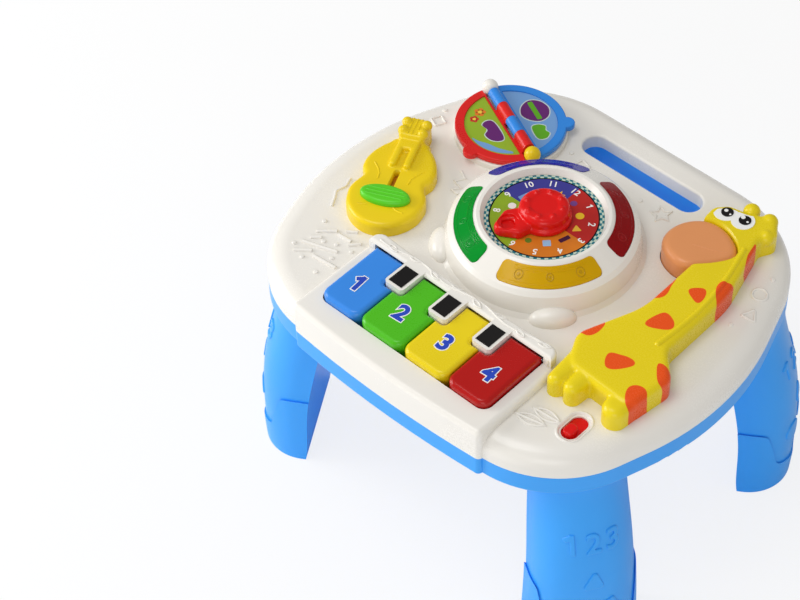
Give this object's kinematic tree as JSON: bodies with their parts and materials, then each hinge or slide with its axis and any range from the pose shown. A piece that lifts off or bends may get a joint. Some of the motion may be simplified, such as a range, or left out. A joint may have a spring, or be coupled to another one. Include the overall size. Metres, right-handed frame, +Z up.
{
  "type": "activity_table",
  "caption": "Toddler's activity table with piano keys, a light-up clock, a flip book, a guitar slider, a giraffe button and four blue plug-in legs",
  "frame": {"origin": "On the floor under the middle of the table's outline", "axes": "+X to the child's right, +Y away from the child, +Z up"},
  "size_m": [0.3602, 0.314, 0.25],
  "materials": {
    "white_shell": "glossy warm white moulding",
    "blue_plastic": "satin bright blue moulding",
    "black_plastic": "matt black moulding",
    "cell_jacket": "plain printed jacket",
    "spring_steel": "bright steel",
    "screw_steel": "zinc-plated steel",
    "speaker_paper": "black paper",
    "magnet_grey": "grey ferrite and plate",
    "board_green": "green lacquer",
    "lamp_clear": "water-clear lamp",
    "dial_print": "printed card under gloss film",
    "red_plastic": "glossy red moulding",
    "grey_rubber": "silicone rubber",
    "black_label": "black film",
    "yellow_plastic": "glossy yellow moulding",
    "page_red_plastic": "glossy red moulding",
    "print_green": "printed film",
    "page_blue_plastic": "glossy blue moulding",
    "print_lime": "printed film",
    "guitar_yellow": "glossy yellow moulding",
    "green_plastic": "glossy green moulding",
    "giraffe_yellow": "glossy yellow moulding with orange spots",
    "white_print": "white print",
    "peach_plastic": "satin peach moulding",
    "key_blue_plastic": "glossy blue moulding",
    "key_green_plastic": "glossy green moulding",
    "key_yellow_plastic": "glossy yellow moulding",
    "key_red_plastic": "glossy red moulding",
    "window_red_clear": "clear red moulding",
    "window_blue_clear": "clear blue moulding",
    "window_green_clear": "clear green moulding",
    "window_amber_clear": "clear amber moulding"
  },
  "bodies": {
    "table": {"top_shell": "white_shell", "bottom_tray": "blue_plastic", "battery_box": "black_plastic", "battery_cells": "cell_jacket", "battery_contacts": "spring_steel", "battery_door": "blue_plastic", "battery_door_screw": "screw_steel", "speaker_frame": "spring_steel", "speaker_cone": "speaker_paper", "speaker_magnet": "magnet_grey", "main_board": "board_green", "sound_chip": "black_plastic", "board_screws": "screw_steel", "case_screws": "screw_steel", "figure_screws": "screw_steel", "light_board": "board_green", "lamps": "lamp_clear", "clock_dial": "dial_print", "key_rod": "spring_steel", "key_board": "board_green", "key_dome_blue": "grey_rubber", "key_dome_green": "grey_rubber", "key_dome_yellow": "grey_rubber", "key_dome_red": "grey_rubber", "black_tabs": "black_label", "book_base": "white_shell", "book_hinge_pin": "spring_steel", "book_white_ball": "white_shell", "book_yellow_ball": "yellow_plastic", "guitar_body": "guitar_yellow", "guitar_neck": "guitar_yellow", "giraffe_body": "giraffe_yellow", "giraffe_eyes": "white_print", "giraffe_pupils": "black_label", "muzzle_dome": "grey_rubber", "switch_body": "black_plastic", "window_red": "window_red_clear", "window_blue": "window_blue_clear", "window_green": "window_green_clear", "window_amber": "window_amber_clear", "leg_right_rear": "blue_plastic", "leg_left_rear": "blue_plastic", "leg_left_front": "blue_plastic", "leg_right_front": "blue_plastic"},
    "clock_pointer": {"pointer": "red_plastic", "pointer_washer": "spring_steel", "pointer_screw": "screw_steel"},
    "red_page": {"page_red": "page_red_plastic", "page_red_prints": "print_green"},
    "blue_page": {"page_blue": "page_blue_plastic", "page_blue_prints": "print_lime"},
    "slider": {"guitar_slider": "green_plastic", "slider_keeper": "black_plastic", "slider_screw": "screw_steel"},
    "muzzle": {"giraffe_muzzle": "peach_plastic"},
    "switch": {"switch_knob": "red_plastic"},
    "blue_key": {"key_blue": "key_blue_plastic"},
    "green_key": {"key_green": "key_green_plastic"},
    "yellow_key": {"key_yellow": "key_yellow_plastic"},
    "red_key": {"key_red": "key_red_plastic"}
  },
  "joints": [
    {"name": "pointer_turn", "type": "hinge", "parent": "table", "child": "clock_pointer", "pos_m": [0, 0.014, 0.238], "axis": [0, 0, 1], "continuous": true},
    {"name": "red_page_flip", "type": "hinge", "parent": "table", "child": "red_page", "pos_m": [-0.095, 0.0855, 0.2208], "axis": [-0.9048, 0.4258, 0], "range_deg": [0, 180]},
    {"name": "blue_page_flip", "type": "hinge", "parent": "table", "child": "blue_page", "pos_m": [-0.095, 0.0855, 0.2208], "axis": [0.9048, -0.4258, 0], "range_deg": [0, 180]},
    {"name": "slider_slide", "type": "slide", "parent": "table", "child": "slider", "axis": [-0.4226, 0.9063, 0], "range_m": [0, 0.02]},
    {"name": "muzzle_press", "type": "slide", "parent": "table", "child": "muzzle", "axis": [0, 0, -1], "range_m": [0, 0.003], "stiffness_N_per_m": 400, "springref_m": -0.004, "deforming": ["muzzle_dome"]},
    {"name": "switch_slide", "type": "slide", "parent": "table", "child": "switch", "axis": [0, 1, 0], "range_m": [0, 0.009]},
    {"name": "blue_key_press", "type": "hinge", "parent": "table", "child": "blue_key", "pos_m": [0, -0.075, 0.2145], "axis": [1, 0, 0], "range_deg": [0, 3.6], "stiffness_Nm_per_rad": 0.5, "springref_deg": -5.73, "deforming": ["key_dome_blue"]},
    {"name": "green_key_press", "type": "hinge", "parent": "table", "child": "green_key", "pos_m": [0, -0.075, 0.2145], "axis": [1, 0, 0], "range_deg": [0, 3.6], "stiffness_Nm_per_rad": 0.5, "springref_deg": -5.73, "deforming": ["key_dome_green"]},
    {"name": "yellow_key_press", "type": "hinge", "parent": "table", "child": "yellow_key", "pos_m": [0, -0.075, 0.2145], "axis": [1, 0, 0], "range_deg": [0, 3.6], "stiffness_Nm_per_rad": 0.5, "springref_deg": -5.73, "deforming": ["key_dome_yellow"]},
    {"name": "red_key_press", "type": "hinge", "parent": "table", "child": "red_key", "pos_m": [0, -0.075, 0.2145], "axis": [1, 0, 0], "range_deg": [0, 3.6], "stiffness_Nm_per_rad": 0.5, "springref_deg": -5.73, "deforming": ["key_dome_red"]}
  ]
}
